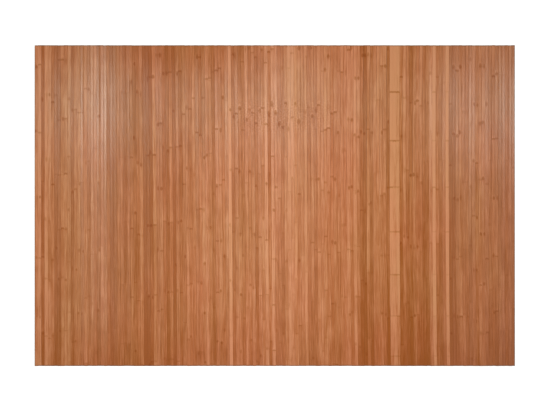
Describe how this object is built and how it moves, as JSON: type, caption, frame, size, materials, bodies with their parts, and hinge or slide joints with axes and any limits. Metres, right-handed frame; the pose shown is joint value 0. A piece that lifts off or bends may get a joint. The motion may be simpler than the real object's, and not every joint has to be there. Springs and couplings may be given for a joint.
{
  "type": "bamboo screen",
  "caption": "Flexible flat screen of narrow upright bamboo slats glued side by side to a woven backing cloth.",
  "frame": {"origin": "underside of the backing cloth, below the middle of the screen", "axes": "+X across the slats, to the right in the picture; +Y along the slats, up in the picture; +Z out of the show face"},
  "size_m": [1.825, 1.219, 0.0059],
  "materials": {
    "bamboo": "satin lacquer",
    "cloth": "plain weave"
  },
  "bodies": {
    "root": {"backing_cloth": "cloth", "slats_01": "bamboo", "slats_02": "bamboo", "slats_03": "bamboo", "slats_04": "bamboo", "slats_05": "bamboo", "slats_06": "bamboo", "slats_07": "bamboo", "slats_08": "bamboo", "slats_09": "bamboo", "slats_10": "bamboo", "slats_11": "bamboo", "slats_12": "bamboo", "slats_13": "bamboo", "slats_14": "bamboo", "slats_15": "bamboo", "slats_16": "bamboo", "slats_17": "bamboo", "slats_18": "bamboo", "slats_19": "bamboo", "slats_20": "bamboo", "slats_21": "bamboo", "slats_22": "bamboo", "slats_23": "bamboo", "slats_24": "bamboo", "slats_25": "bamboo", "slats_26": "bamboo", "slats_27": "bamboo", "slats_28": "bamboo", "slats_29": "bamboo", "slats_30": "bamboo", "slats_31": "bamboo", "slats_32": "bamboo", "slats_33": "bamboo", "slats_34": "bamboo", "slats_35": "bamboo", "slats_36": "bamboo", "slats_37": "bamboo", "slats_38": "bamboo", "slats_39": "bamboo", "slats_40": "bamboo", "slats_41": "bamboo", "slats_42": "bamboo", "slats_43": "bamboo", "slats_44": "bamboo", "slats_45": "bamboo", "slats_46": "bamboo", "slats_47": "bamboo", "slats_48": "bamboo", "slats_49": "bamboo"}
  },
  "joints": []
}
